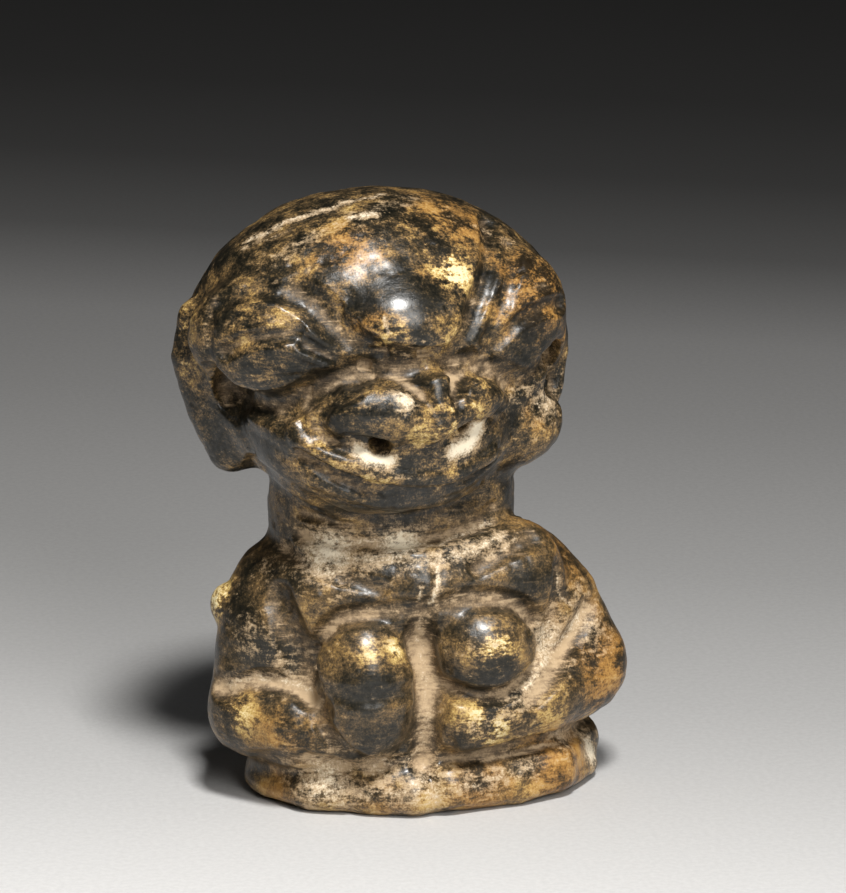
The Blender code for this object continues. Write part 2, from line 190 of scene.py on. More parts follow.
def upper_arms(points):
    left = roll(points, [(-19.5, 2, 33.0, 9.0), (-24.0, -1, 24, 8.0), (-26.0, -3, 16, 7.2)])
    right = roll(points, [(18.2, 2, 32.2, 9.4), (22.8, 0, 28.4, 8.7), (27.6, -2, 20.5, 7.4)])
    return np.minimum(left, right)


def forearms(points):
    left = roll(points, [(-26.0, -3.0, 14.5, 7.4), (-20.5, -9.5, 14.0, 7.0), (-17.5, -11.5, 14, 6.0)])
    right = roll(points, [(27.6, -3.5, 18.6, 7.4), (17, -12.4, 16.8, 6.8), (4.5, -16.0, 16.0, 6.2)])
    return np.minimum(left, right)


def folded_legs(points):
    """Two rolls that meet in front."""
    right = roll(points, [(26.5, 2, 4.6, 5.4), (20, -9.8, 4.2, 5.6), (3, -14.6, 3.8, 5.3)])
    left = roll(points, [(-21.5, 2, 2.0, 5.0), (-17.0, -9.0, 2.4, 5.2), (-3, -14.6, 2.8, 5.3)])
    return np.minimum(left, right)


def in_head(points):
    """Places in the head's own frame, with the face square to the front."""
    return (points - HEAD_AT) @ TURNED


def blocked_form(points):
    return join(blocked_head(in_head(points)), blocked_body(points), 2.5)


# The carved lines


def sampled(marks, per_span=6):
    """A smooth line through marks, as points close together."""
    marks = np.array(marks, float)
    padded = np.vstack([2 * marks[0] - marks[1], marks, 2 * marks[-1] - marks[-2]])
    line = []
    for i in range(1, len(padded) - 2):
        before, here, there, after = padded[i - 1 : i + 3]
        for share in np.linspace(0, 1, per_span, endpoint=False):
            line.append(
                0.5
                * (
                    2 * here
                    + (there - before) * share
                    + (2 * before - 5 * here + 4 * there - after) * share**2
                    + (3 * here - before - 3 * there + after) * share**3
                )
            )
    return np.array(line + [marks[-1]])


def meet_stone(form, marks, side):
    """Where marks drawn on a side of the stone meet its surface: on the face, the front or the back."""
    line = sampled(marks)
    origin = np.column_stack([line[:, 0], np.zeros(len(line)), line[:, 1]])
    inward = np.array([0.0, -1.0 if side == "back" else 1.0, 0.0])
    if side == "face":
        origin = origin @ TURNED.T + HEAD_AT
        inward = TURNED @ inward
    depths = np.arange(-40.0, 20.0)
    tried = origin[:, None, :] + inward * depths[:, None]
    value = form(tried.reshape(-1, 3)).reshape(len(line), len(depths))
    at = np.argmax(value < 0, axis=1)
    kept = np.flatnonzero(at > 0)
    at = at[kept]
    outside, inside = value[kept, at - 1], value[kept, at]
    depth = depths[at] + inside / (outside - inside)
    return origin[kept] + inward * depth[:, None]


def cut_line(stone, points, line, width, depth):
    """The stone with a rounded groove along the line, or a ridge if the depth is negative."""
    low, high = line.min(0) - width, line.max(0) + width
    near = np.flatnonzero(((points > low) & (points < high)).all(axis=1))
    if not len(near):
        return stone
    gap = roll(points[near], [(*station, 0.0) for station in line])
    share = np.clip(gap / width, 0, 1)
    stone[near] += depth * (1 - share**2) ** 2
    return stone


# Carved lines, each with marks across and up on its side of the stone, a width and a depth.
FACE_LINES = {
    "brow left": (
        [(-18.6, 86.8), (-16, 85.2), (-13.5, 82), (-10.6, 79.4), (-7, 77.3), (-1, 76)], 3.4, 3.6
    ),
    "brow right": (
        [(16.5, 93.5), (12.2, 86.5), (8.9, 82.2), (7.2, 79.2), (4.5, 76.8), (-1, 76)], 2.6, 3.6
    ),
    "left lid top": ([(-28.5, 85), (-24.6, 86.8), (-21.5, 87), (-18.6, 86), (-14, 82)], 2.4, 1.7),
    "left slit": ([(-29.4, 77.2), (-27.2, 79), (-24.5, 80.1), (-19.4, 81.2)], 1.7, 2.8),
    "left slit inner": ([(-18, 79.4), (-14.6, 77.5), (-12.2, 76.5), (-9.6, 76)], 1.7, 2.0),
    "left lower lid": ([(-21, 78.6), (-17, 77.2), (-14, 75.6), (-11, 74.6)], 1.5, -0.7),
    "left lid bottom": (
        [(-30, 72.6), (-26.5, 69.6), (-22.8, 68.2), (-18.2, 70), (-13.5, 72.4), (-9, 75)], 3.2, 3.0
    ),
    "right lid top": ([(18.6, 90.5), (15.6, 85), (13.2, 80.4), (11.8, 77.6)], 2.3, 1.9),
    "right slit": (
        [(12.2, 76.2), (15.2, 78.4), (17.5, 80.2), (20.2, 81), (23, 81.4), (26.8, 80.8)], 1.8, 3.0
    ),
    "right lid bottom": (
        [(10.5, 74.2), (13.5, 72.6), (17, 70.4), (20, 69.4), (22.5, 71.2), (26, 73)], 3.0, 3.0
    ),
    "right ear hollow": ([(27.6, 72.8), (27.5, 69.6), (27.0, 66.4)], 1.9, 3.0),
    "nose arch": (
        [
            (-20.2, 67.6), (-17.6, 71.2), (-13.5, 73.6), (-8, 75.2),
            (0.5, 76), (6.5, 75.4), (11, 73.6), (16.4, 69.6),
        ], 2.8, 2.6
    ),
    "beside left wing": ([(-15.9, 70.2), (-16.8, 67.2), (-15.2, 64.6), (-11.6, 63.2)], 1.9, 1.4),
    "left wing": (
        [(-15.6, 64.6), (-17.4, 67.6), (-15.4, 71), (-10.5, 73.4), (-5, 73.6), (-1.6, 71.6)], 1.8, 2.1
    ),
    "right wing": ([(4.4, 71.8), (8, 73.4), (12.6, 72.4), (15.4, 69), (12.4, 66)], 1.8, 2.1),
    "upper lip": (
        [
            (-19.8, 66.5), (-19.0, 63.7), (-15.8, 61.8), (-11.6, 60.2),
            (-7.2, 58.8), (-0.5, 57.4), (5, 57.2), (12, 59.4),
        ], 2.1, -1.4
    ),
    "mouth": ([(-19, 61.8), (-13.4, 58.4), (-8, 56.2), (-1.8, 55), (4.2, 55), (9.4, 56), (14, 58)], 2.0, 2.6),
    "lower lip": ([(-17.4, 57.6), (-11.5, 54.8), (-6.2, 53), (0, 52.2), (6, 52.2), (11, 53.2)], 1.9, -0.9),
    "jaw corner": ([(-24, 66), (-21.5, 64.4), (-19, 62)], 2.4, -0.8),
    "under jaw": ([(-22, 56.6), (-17, 53.4), (-11, 50.4), (-4, 48.9), (4, 49), (12, 50.6)], 3.0, 1.5),
}
BODY_LINES = {
    "between breasts": ([(-2.2, 34.5), (-1.9, 30), (-0.8, 20.4), (-1.3, 9.5)], 3.2, 3.0),
    "left hand": ([(-18.4, 22.4), (-14, 21.8), (-9, 21.8), (-3, 22)], 2.2, 0.6),
    "left hand edge": ([(-19, 28), (-19, 21), (-17, 15), (-13, 10.6), (-8.8, 8.8)], 2.6, 2.8),
    "right hand": ([(0.4, 22), (4.3, 20.8), (9, 20), (13.1, 20.8), (16.6, 23.4)], 2.2, 2.0),
    "right hand edge": ([(0.8, 20.5), (1.2, 15), (2.5, 10.4)], 2.0, 1.0),
    "collar": ([(-19.2, 45), (-12, 44.8), (-4.2, 45), (2, 45.4), (9, 46.4)], 2.0, 1.3),
    "neck crease": ([(-19, 48.4), (-12, 47.2), (-4, 46.9), (4, 47.2), (12, 48.2)], 1.4, 0.9),
    "collar rim": ([(-20, 43.2), (-12, 42.9), (-4.2, 43), (2, 43.4), (9.6, 44.4)], 1.8, -0.6),
    "left collarbone": ([(-21.4, 42), (-18.4, 40.8), (-12.5, 39.4), (-8.3, 38.1)], 2.0, 1.2),
    "right collarbone": ([(17, 43.7), (12.4, 42.4), (7.3, 40.7)], 2.4, 1.3),
    "over breasts": (
        [(-17, 30.5), (-14.3, 33.3), (-6.6, 34.8), (-1.5, 34.8), (6.6, 36), (13.6, 34.3), (17, 30.5)],
        2.6,
        1.7,
    ),
    "left arm": ([(-23.6, 35), (-21.8, 29), (-20.4, 24)], 3.8, 4.0),
    "right arm": ([(21.9, 38), (21.2, 31), (20.6, 25.6)], 2.8, 2.6),
    "left forearm": ([(-32, 19.6), (-26.4, 21.6), (-21.4, 21.2), (-18, 19.4)], 2.6, 2.4),
    "right forearm": ([(16, 19.2), (22, 23.6), (28, 29.6)], 2.6, 2.2),
    "over right leg": ([(2.5, 9.4), (8, 9.8), (15, 11), (23, 10.6), (30, 8.6)], 2.2, 1.5),
    "over left leg": ([(-27, 8.8), (-22.3, 10.6), (-17.9, 9.8), (-13.6, 8.2)], 2.2, 1.2),
}
BACK_LINES = {
    "spine": ([(-1.5, 38), (-0.8, 30), (-0.4, 20), (0, 13)], 4.0, 1.0),
    "left arm behind": ([(-20.5, 34), (-22.5, 26), (-24, 17), (-25.5, 11)], 3.4, 1.5),
    "right arm behind": ([(20.5, 35), (23.5, 28), (26, 20), (26.5, 13)], 3.4, 1.5),
    "nape": ([(-22, 51), (-12, 49), (-3, 48.4), (6, 49), (15, 51)], 3.0, 0.9),
    "base behind": ([(-26, 8.2), (-12, 9.2), (2, 9.4), (16, 9.4), (30, 9.0)], 2.6, 1.2),
    "seat": ([(0, 13), (0.4, 10), (0.6, 6)], 2.6, 0.9),
}

# Finer lines that only this mesh has.
FINE_FACE_LINES = {
    "crown scratch": ([(-21.7, 92.4), (-17, 94.8), (-12, 96.6), (-6.3, 98.1)], 1.1, 0.35),
    "second crown scratch": ([(-23.1, 91.1), (-21.6, 92.1), (-18.6, 93.5), (-16.1, 94.7)], 1.0, 0.3),
    "temple": ([(-29.6, 84.5), (-31.2, 80.6), (-31.3, 76.6), (-30.3, 72.6)], 1.7, 0.7),
    "left flap": ([(-27.2, 68.7), (-24.9, 62.8), (-21.8, 55.4)], 1.6, 0.6),
    "right ear rim": ([(27.0, 72.4), (28.6, 66.6), (27.5, 62.2), (27.2, 59.8)], 1.6, 0.7),
    "nose crease": ([(-3.9, 74.4), (-2.7, 72.8), (-0.8, 70.7), (0.8, 68.2)], 1.5, 0.6),
    "right nose crease": ([(5.7, 74.4), (4.2, 72.2), (4.3, 70.0)], 1.6, 0.9),
    "bridge crease": ([(7.6, 77.8), (9.6, 75.9), (12.2, 73.9), (15.6, 72.2)], 1.2, 0.5),
    "lid fold": ([(-24.5, 74.2), (-20.5, 73.6), (-16.5, 74.2)], 1.6, 0.35),
    "upper lid fold": ([(-27.5, 82.6), (-23.5, 83.6), (-19.5, 83.2)], 1.6, 0.3),
    "right lid fold": ([(16.4, 83.4), (19.6, 84.4), (23.2, 84.2)], 1.5, 0.3),
    "cheek fold": ([(-20.4, 63.6), (-17.4, 60.2), (-13.2, 57.4), (-8.4, 55.2)], 1.2, 0.4),
    "chin line": ([(-13, 54.6), (-7.4, 52.4), (-0.6, 50.8), (6.8, 50.6)], 1.5, 0.4),
}
FINE_BODY_LINES = {
    "small collarbone": ([(-17.5, 43.2), (-15.6, 42.6), (-13.2, 42.0), (-11.0, 42.2)], 1.3, 0.45),
    "sternum": ([(0.6, 41.6), (0.5, 39.3), (-0.5, 36.4)], 1.3, 0.4),
    "sternum left": ([(-2.2, 38.2), (-2.4, 36.4)], 0.9, 0.3),
    "left arm cut": ([(-21.5, 32.1), (-20.3, 30.3), (-19.2, 28.0)], 0.9, 0.4),
    "left arm wear": ([(-24.3, 36.6), (-23.9, 33.0), (-22.8, 29.2)], 1.6, 0.5),
    "right arm cut": ([(22.3, 35.6), (23.4, 32.4), (25.9, 29.9)], 1.0, 0.4),
    "right arm wear": ([(18.0, 27.7), (18.4, 24.3), (16.6, 21.9)], 1.3, 0.4),
    "left hand end": ([(-14.8, 11.1), (-11.8, 8.6), (-8.3, 7.8), (-4.8, 9.5)], 1.4, 0.6),
    "base rim": ([(27.8, 7.6), (24.0, 8.4), (17.0, 8.6), (9.0, 8.0)], 1.2, 0.3),
    "base step": ([(-13.2, 0.6), (-12.7, 2.2), (-11.6, 4.0)], 1.2, 0.8),
    "base left edge": ([(-26.5, 7.6), (-22.3, 9.6), (-17.9, 9.4), (-14.0, 7.6)], 1.5, 0.6),
}

# How much deposit lies in a carved groove.
DEPOSIT_IN = {
    "brow left": 0.50,
    "brow right": 0.35,
    "left lid top": 0.30,
    "left slit": 0.70,
    "left slit inner": 0.60,
    "left lid bottom": 0.50,
    "right lid top": 0.15,
    "right slit": 0.45,
    "right lid bottom": 0.55,
    "nose arch": 0.66,
    "left wing": 0.60,
    "right wing": 0.60,
    "mouth": 0.40,
    "under jaw": 0.15,
    "between breasts": 0.85,
    "left hand": 0.10,
    "collar": 0.60,
    "over breasts": 0.58,
    "left arm": 0.15,
    "left forearm": 0.95,
    "right forearm": 0.85,
    "over right leg": 0.55,
    "over left leg": 0.60,
}
DEPOSIT_WHERE_UNNAMED = 0.4

# How far the deposit reaches from a groove's bottom, in groove widths.
DEPOSIT_REACH = {"face": 0.80, "front": 1.15, "back": 0.9}

# Pale strokes of deposit: marks, a width and a strength.
FACE_STROKES = {
    "crown scratch": ([(-22.2, 92.0), (-17, 94.9), (-12, 96.7), (-6.3, 98.2), (-0.5, 98.4)], 1.3, 0.85),
    "second crown scratch": ([(-23.1, 91.1), (-21.6, 92.1), (-18.6, 93.5)], 0.9, 0.6),
    "crown patch": ([(-7.6, 96.6), (-4.2, 97.0)], 2.4, 0.95),
    "under left nostril": ([(-10.9, 62.9), (-9.0, 61.6), (-6.3, 61.2)], 2.2, 1.35),
    "under right nostril": ([(4.6, 61.7), (7.3, 62.4), (9.2, 64.6)], 3.2, 1.35),
    "temple": ([(-29.9, 84.2), (-31.2, 80.6), (-31.3, 76.6)], 1.1, 0.35),
    "lobe scratch": ([(-6.6, 83.6), (-6.2, 81.4)], 0.8, 0.9),
    "nose tip": ([(2.4, 65.0), (0.4, 64.2)], 0.9, 0.8),
    "right ear": ([(28.6, 73.6), (28.0, 68.4), (27.8, 63.6)], 1.2, 0.35),
    "right cheek": ([(16, 66), (20, 68), (23, 64)], 4.0, 0.5),
    "crown left": ([(-20, 91), (-12, 95), (-2, 97.6), (6, 97.6)], 3.4, 0.5),
    "crown right": ([(8, 96), (14, 93), (19, 90)], 3.0, 0.3),
    "upper lip": ([(-14, 61), (-9, 59.4), (-2, 58)], 1.6, 0.3),
}
BODY_STROKES = {
    "collar": ([(-16.7, 44.6), (-11.8, 44.7), (-6.6, 44.6), (-0.3, 44.0), (4.5, 44.6), (11, 46)], 1.6, 0.85),
    "sternum": ([(0.6, 41.8), (0.6, 39.3), (-0.6, 35.6)], 1.1, 1.1),
    "sternum left": ([(-2.2, 38.4), (-2.4, 36.2)], 0.8, 1.0),
    "between breasts": ([(-2.0, 34.0), (-1.7, 29), (-0.9, 21), (-1.3, 12), (-4.4, 8.4)], 2.6, 0.66),
    "over left breast": ([(-17, 30.8), (-13.5, 33.8), (-7.0, 34.9), (-1.5, 35)], 1.2, 0.5),
    "over right breast": ([(-1.5, 35), (4.0, 35.8), (8.6, 36), (13.0, 34.6)], 1.1, 0.55),
    "left forearm": ([(-31, 20.4), (-27.4, 21.6), (-23.0, 21.7), (-18.6, 20.4)], 2.6, 0.78),
    "arm fold": ([(-23.6, 27.0), (-22.8, 24.0), (-20.4, 23.0)], 1.3, 0.6),
    "right arm streak": ([(15.4, 20.4), (18.5, 22.9), (22.6, 25.4), (26.5, 28.8)], 2.8, 0.85),
    "right arm fork": ([(16.6, 21.2), (18.4, 24.3), (19.4, 27.7)], 1.3, 0.7),
    "right arm line": ([(21.7, 37.0), (22.3, 33.4), (24.4, 31.0)], 0.9, 0.8),
    "right collarbone": ([(15.0, 44.2), (11.8, 42.4), (8.6, 41.6)], 1.4, 0.7),
    "left collarbone": ([(-21.2, 42.0), (-18.4, 40.8), (-13.5, 39.6)], 0.9, 0.7),
    "right hand": ([(5.0, 20.4), (9.6, 20.0), (13.4, 20.8)], 0.8, 0.45),
    "base rim": ([(28.6, 7.4), (24.0, 8.6), (17.0, 9.0), (9.6, 8.2)], 0.9, 0.6),
    "base right edge": ([(31.2, 6.0), (30.6, 3.0), (28.4, 1.4)], 1.2, 0.7),
    "base left patch": ([(-18.4, 7.0), (-15.6, 5.2), (-15.0, 2.6)], 4.6, 0.75),
    "collar band": ([(-18, 42.4), (-10, 42.4), (-2, 42.2), (6, 43.0), (12, 44.4)], 3.6, 0.78),
    "left shoulder": ([(-21, 43), (-22, 40), (-18, 38)], 3.0, 0.25),
    "right arm": ([(18, 24), (23, 27.6), (26, 33)], 5.5, 0.55),
    "base front": ([(-12, 4.0), (-4, 4.6), (6, 5), (16, 6.4)], 4.4, 0.66),
    "left breast": ([(-13, 28.6), (-9, 30), (-5.6, 29)], 2.2, 0.35),
    "right breast": ([(5, 29.4), (9.6, 29.6)], 2.6, 0.5),
    "right hand top": ([(5.6, 15.4), (9.6, 16.8), (15, 18)], 3.6, 0.55),
}

# Places where the stone is gold or rust coloured: x, y, z, reach and strength. Those on the head are
# in its own frame.
HEAD_GOLD = {
    "forehead right": (6.6, -19.9, 89.2, 4, 1.7),
    "brow left": (-5.4, -24.7, 80.7, 3.2, 1.4),
    "brow right": (2.7, -24.4, 80.1, 3.5, 0.5),
    "left lid": (-24.9, -16.3, 83, 6, 0.45),
    "under left slit": (-23.8, -17.8, 75.8, 4, 0.5),
    "nose tip": (4.6, -29, 68.6, 4.5, 1),
    "right wing": (9.6, -24.5, 70, 4, 0.6),
    "left wing": (-10.5, -27, 70.2, 5, 0.45),
    "under nose tip": (-1.6, -28, 64.6, 4, 0.6),
    "right lid": (21.7, -16.8, 84.6, 5.5, 0.7),
    "left ear": (-31.7, -0.6, 76.5, 6, 0.8),
    "lip corner": (-16.5, -24, 62, 4, 0.6),
    "upper lip": (-8.5, -26.3, 58.6, 5, 0.6),
    "upper lip right": (3, -25.5, 57.6, 5, 0.5),
    "crown left": (-10.4, -13, 95.6, 9, 0.35),
    "crown right": (4, -12, 96, 8, 0.5),
}
HEAD_RUST = {
    "crown left": (-10.4, -16.8, 93.8, 6, 0.7),
    "crown right": (10, -9, 95, 10, 0.6),
    "right lid": (21.7, -16.8, 84.6, 7.5, 1),
    "right temple": (27, -9, 77, 6, 0.8),
    "right cheek": (22.2, -12.3, 65.5, 6, 0.4),
    "brow left": (-8, -23, 83, 4, 0.5),
    "forehead": (2.5, -23, 89.6, 3, 0.5),
}
BODY_GOLD = {
    "right hand": (8.5, -21.3, 15.8, 4.6, 1.8),
    "left elbow": (-30.2, -9.3, 16.7, 4, 1.1),
    "left forearm": (-22.8, -15.7, 14.3, 5, 0.4),
    "left breast": (-10.9, -21.2, 28.9, 2.8, 1.1),
    "left breast inner": (-6.8, -20.2, 28.9, 2.2, 1.3),
    "right breast": (9.1, -22.1, 28.3, 3.4, 2),
    "right elbow": (30.9, -8, 17, 6, 0.8),
    "under right elbow": (28.5, -10, 13.2, 5, 0.8),
    # Real gold chips, made stronger here as painted light on the figure's dim left side.
    "shoulder lump": (-30.6, 1, 32.2, 3.5, 1.6),
    "collar left": (-15, -10, 42.6, 7, 0.45),
    "collar": (0, -12.5, 43.2, 7, 0.5),
    "left leg": (-17, -13.2, 4.5, 5, 0.5),
    "right forearm": (18, -16, 16, 7, 0.6),
    "right leg": (20, -14, 5, 8, 0.6),
    "legs meet": (2, -19, 5, 8, 0.5),
    "right arm": (23, -8, 34, 7, 0.35),
    "left leg inner": (-8, -17, 3, 7, 0.5),
}
BODY_RUST = {
    "right elbow": (30.9, -9, 20, 9, 0.9),
    "right leg": (22.6, -13.8, 6, 8, 1),
    "right leg inner": (7.6, -18.3, 3.7, 7, 0.7),
    "left leg inner": (-8, -18, 2.4, 6, 0.5),
    "left leg": (-23.8, -9.6, 3.4, 5, 0.6),
    "right shoulder": (24, -5.2, 40, 9, 0.7),
    "left forearm": (-22.8, -15.7, 14.3, 7, 0.4),
}

# Where hands have polished the stone dark and smooth.
HEAD_POLISH = {
    "brow": (-2.4, -24.3, 86.4, 7.5, 1),
    "right lid inner": (12.3, -17.6, 85.2, 4, 0.9),
    "left jaw": (-24, -10, 60.5, 8, 0.9),
    "chin": (0, -22, 53.4, 9, 0.7),
    "under left eye": (-24, -14, 71, 5, 0.6),
    "left wing": (-9, -28, 71, 3.6, 1),
    "bridge": (3.5, -27.5, 73.5, 2.6, 0.8),
    "left lid": (-20, -19, 81.5, 4.5, 0.7),
    "lip corner": (-19.5, -20, 63.6, 4, 0.7),
}
BODY_POLISH = {
    "left breast top": (-10.2, -19.6, 31.6, 4, 0.9),
    "right breast top": (7.4, -19.6, 32.4, 4, 0.9),
    "right hand": (10, -22.5, 19, 3.5, 0.6),
    "chest": (-4.5, -15.1, 39.6, 4.5, 1),
    "chest right": (8, -15, 39.2, 6, 0.8),
    "left breast": (-10.9, -22, 20, 8, 0.6),
    "right breast low": (8, -22, 24, 5, 0.5),
    "legs meet": (-2, -18.3, 5.6, 6.5, 0.9),
    "left arm": (-27.4, -8, 26, 7, 0.5),
}

# Where a thin film of deposit lies on the open stone, parts of the body's film being painted light, and where
# the stone is darkest, with painted shade among those dark places.
HEAD_FILM = {
    "right cheek": (23.1, -10.7, 64.6, 5, 0.8),
    "right jaw": (21.1, -9.2, 59.5, 5, 0.65),
    "crown": (-8, -11.6, 97.3, 5, 0.35),
    "nose": (-4.6, -29.2, 71.4, 2.6, 1),
    "right ear": (29.8, -3.8, 63.2, 4, 0.45),
    "over bridge": (-2.3, -24.5, 78.4, 3, 0.4),
}
# Dark stone, and painted shade under the lids, at the mouth's corner and on the face's left side, away from
# the light.
HEAD_DARK_STONE_AND_SHADE = {
    "left lid": (-24.9, -16.3, 83.5, 6, 0.7),
    "under left slit": (-23.8, -17.6, 74.9, 6, 0.9),
    "under right slit": (19.6, -18.3, 75.8, 5, 1),
    "right lid top": (15.5, -17.4, 87.2, 4.5, 1.1),
    "left jaw": (-27.8, -3.1, 63.6, 8, 1),
    "lip corner": (-20.3, -19.5, 62.2, 6, 0.8),
    "lower lip left": (-14.5, -21.7, 55.9, 5, 0.6),
    "chin": (1.8, -22.1, 52.9, 8, 0.8),
    "brow": (-2.6, -24.5, 85.4, 6.5, 1),
    "left lid inner": (-19, -20, 77, 6, 0.7),
    "left wing": (-10, -27, 68, 4.5, 0.6),
    "lower lip right": (10, -23, 56, 6, 0.6),
    "right lid inner": (13, -17, 85, 5, 0.7),
    "left temple": (-26, -4, 88, 7, 0.5),
    "forehead top": (-5, -17.5, 93, 5, 0.5),
    "crown right": (14, -9, 94, 6, 0.4),
}
BODY_FILM_AND_PAINTED_LIGHT = {
    # The collar's film is partly painted light, lifting it out of the chin's shadow.
    "collar left": (-15.1, -10.3, 42.1, 6, 1.1),
    "collar": (-4.3, -13, 43.1, 5, 1.2),
    "right arm": (27.1, -8.3, 28.1, 6, 0.7),
    "right arm inner": (19.6, -12.2, 26.4, 6, 0.85),
    "right hand": (13.9, -19.3, 18.9, 4.5, 0.6),
    "left leg": (-16.7, -13.2, 5.9, 7, 0.85),
    "under left hand": (-8.2, -15.8, 8.4, 5, 0.7),
    "legs meet": (-1.4, -18.3, 5.3, 6, 0.75),
    "over right leg": (22.5, -10.6, 9.7, 4, 0.7),
    "right leg end": (29, -4.7, 4.8, 3.5, 1.15),
    "chest": (1, -14.5, 38, 4.5, 0.45),
    "left arm inner": (-22, -11, 23.5, 4, 0.6),
    # These two are painted light on the figure's dim left side.
    "left arm": (-27.5, -8.4, 29, 5, 0.45),
    "left shoulder": (-24, -6, 39.5, 4, 0.35),
}
# Dark stone, and painted shade on the breasts' undersides and in the left arm's hollow.
BODY_DARK_STONE_AND_SHADE = {
    "left breast": (-11.2, -22.8, 24, 4.2, 1.1),
    "left hand": (-11.1, -21.9, 15, 5, 0.7),
    "right breast low": (8, -22.6, 23, 4.5, 0.9),
    "left arm": (-26.1, -9.4, 24.3, 4.5, 0.8),
    "left shoulder": (-24.2, -6.9, 37.6, 5, 0.5),
    "right shoulder": (16, -12, 36, 5, 0.5),
    "chest": (-4.5, -15.1, 39.6, 4, 0.6),
}


def laid(form, groups):
    """Every line of the groups as it lies on the stone, with its two amounts."""
    return [
        (meet_stone(form, marks, side), width, amount)
        for side, group in groups
        for marks, width, amount in group.values()
    ]


def carved_form(points, lines):
    """The finished stone: the block with its hollows and its lines, rounded in under its edge."""
    stone = blocked_form(points)
    turned = in_head(points)
    nostrils = [
        [(-12.6, -25.4, 65.4, 0.9), (-7.8, -28.0, 62.8, 2.0), (-7.4, -23.0, 64.6, 1.4)],
        [(2.4, -28.2, 63.2, 1.4), (7.4, -26.0, 65.2, 1.7), (6.0, -22.0, 66.2, 1.2)],
    ]
    for nostril in nostrils:
        stone = hollow(stone, roll(turned, nostril), 0.8)
    for side in (-1, 1):
        ear_hollow = mass(turned, (side * 26.0, -7.5, 69.5), (3.0, 5.0, 5.5))
        stone = hollow(stone, ear_hollow, 1.2)
    for line, width, depth in lines:
        stone = cut_line(stone, points, line, width, depth)
    uneven = 0.30 + 0.10 * np.sin(points[:, 0] * 0.55) * np.sin(points[:, 0] * 0.21 + 1)
    return stone + uneven * np.clip(2.3 - points[:, 2], 0, 3) ** 2


# From the form to a mesh


def sampled_grid(form, cell):
    """The form's distance at every corner of a grid, exact near the surface and rough elsewhere."""
    coarse_step = 4
    counts = np.ceil((HIGH_CORNER - LOW_CORNER) / (cell * coarse_step)).astype(int)
    coarse_axes = [LOW_CORNER[i] + cell * coarse_step * np.arange(counts[i] + 1) for i in range(3)]
    corners = np.stack(np.meshgrid(*coarse_axes, indexing="ij"), axis=-1)
    rough = form(corners.reshape(-1, 3)).reshape(corners.shape[:3])
    values = rough[:-1, :-1, :-1]
    for axis in range(3):
        values = np.repeat(values, coarse_step, axis=axis)
    near = np.abs(values) < cell * coarse_step * 1.5
    index = np.argwhere(near)
    exact = form(LOW_CORNER + cell * index)
    values = values.copy()
    values[near] = exact
    return values


def shifted(values, steps):
    """The part of a grid that starts some steps in along each axis and leaves the last ones off."""
    x, y, z = values.shape
    return values[
        steps[0] : x - 1 + steps[0], steps[1] : y - 1 + steps[1], steps[2] : z - 1 + steps[2]
    ]


def without_pinches(values):
    """The grid's distances with corners filled in where two parts of the surface would touch."""
    corners = np.array(np.meshgrid([0, 1], [0, 1], [0, 1], indexing="ij")).reshape(3, -1).T
    while True:
        inside = values < 0
        pinched = []
        for axis in range(3):
            ring = [np.insert(step, axis, 0) for step in ((0, 0), (1, 1), (1, 0), (0, 1))]
            one, two, three, four = (shifted(inside, steps) for steps in ring)
            for at in np.argwhere((one == two) & (three == four) & (one != three)):
                pinched.append([tuple(at + steps) for steps in ring])
        total = sum(shifted(inside, corner).astype(int) for corner in corners)
        for at in np.argwhere((total == 2) | (total == 6)):
            around = [tuple(at + corner) for corner in corners]
            lone = total[tuple(at)] == 2
            odd = [place for place in around if inside[place] == lone]
            if all(abs(odd[0][axis] - odd[1][axis]) == 1 for axis in range(3)):
                pinched.append(around)
        if not pinched:
            return values
        for around in pinched:
            outside = [place for place in around if values[place] >= 0]
            if outside:
                values[min(outside, key=lambda place: values[place])] = -0.02


def meshed(values, cell):
    """Points and quads on the zero surface: one point in each cell that it crosses."""
    inside = values < 0
    shape = np.array(values.shape) - 1
    corner_sum = np.zeros((*shape, 3))
    corner_count = np.zeros(shape)
    for axis in range(3):
        low = [slice(None)] * 3
        high = [slice(None)] * 3
        low[axis], high[axis] = slice(0, -1), slice(1, None)
        first, second = values[tuple(low)], values[tuple(high)]
        crosses = (first < 0) != (second < 0)
        share = np.where(crosses, first / np.where(crosses, first - second, 1), 0)
        others = [a for a in range(3) if a != axis]
        for step_one in (0, 1):
            for step_two in (0, 1):
                window = [slice(0, shape[0]), slice(0, shape[1]), slice(0, shape[2])]
                window[others[0]] = slice(step_one, step_one + shape[others[0]])
                window[others[1]] = slice(step_two, step_two + shape[others[1]])
                here = crosses[tuple(window)]
                corner_count += here
                corner_sum[..., axis] += share[tuple(window)] * here
                corner_sum[..., others[0]] += step_one * here
                corner_sum[..., others[1]] += step_two * here
    used = corner_count > 0
    number = np.full(shape, -1)
    number[used] = np.arange(used.sum())
    places = np.argwhere(used) + corner_sum[used] / corner_count[used][:, None]
    points = LOW_CORNER + cell * places
    quads = []
    for axis in range(3):
        others = [(axis + 1) % 3, (axis + 2) % 3]
        low = [slice(1, -1)] * 3
        low[axis] = slice(0, -1)
        high = list(low)
        high[axis] = slice(1, None)
        first, second = inside[tuple(low)], inside[tuple(high)]
        for leaving in (True, False):
            at = np.argwhere((first & ~second) if leaving else (~first & second))
            at[:, others] += 1
            ring = []
            for back_one, back_two in ((0, 0), (1, 0), (1, 1), (0, 1)):
                cell_at = at.copy()
                cell_at[:, others[0]] -= back_one
                cell_at[:, others[1]] -= back_two
                ring.append(number[tuple(cell_at.T)])
            quad = np.stack(ring, axis=1)
            quads.append(quad if leaving else quad[:, ::-1])
    return points, np.vstack(quads)


